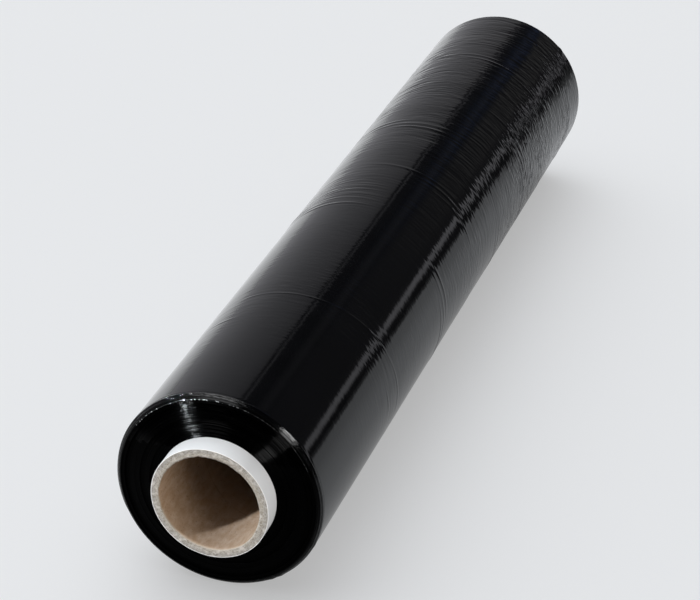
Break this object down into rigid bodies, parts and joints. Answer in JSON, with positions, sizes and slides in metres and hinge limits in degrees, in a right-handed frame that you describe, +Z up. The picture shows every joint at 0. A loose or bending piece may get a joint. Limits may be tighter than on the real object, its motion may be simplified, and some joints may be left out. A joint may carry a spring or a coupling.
{
  "type": "stretch wrap roll",
  "caption": "Roll of black stretch film wound on a board core covered in white paper, lying on its side on a small flat spot.",
  "frame": {"origin": "on the surface the roll lies on, under the middle of its length", "axes": "+Y along the roll from the near end to the far end, +Z up, +X to the right seen from the near end"},
  "size_m": [0.1024, 0.521, 0.1019],
  "materials": {
    "film": "gloss",
    "board": "matte",
    "white_paper": "satin"
  },
  "bodies": {
    "root": {"film_roll": "film", "core_board": "board", "core_paper": "white_paper"}
  },
  "joints": []
}
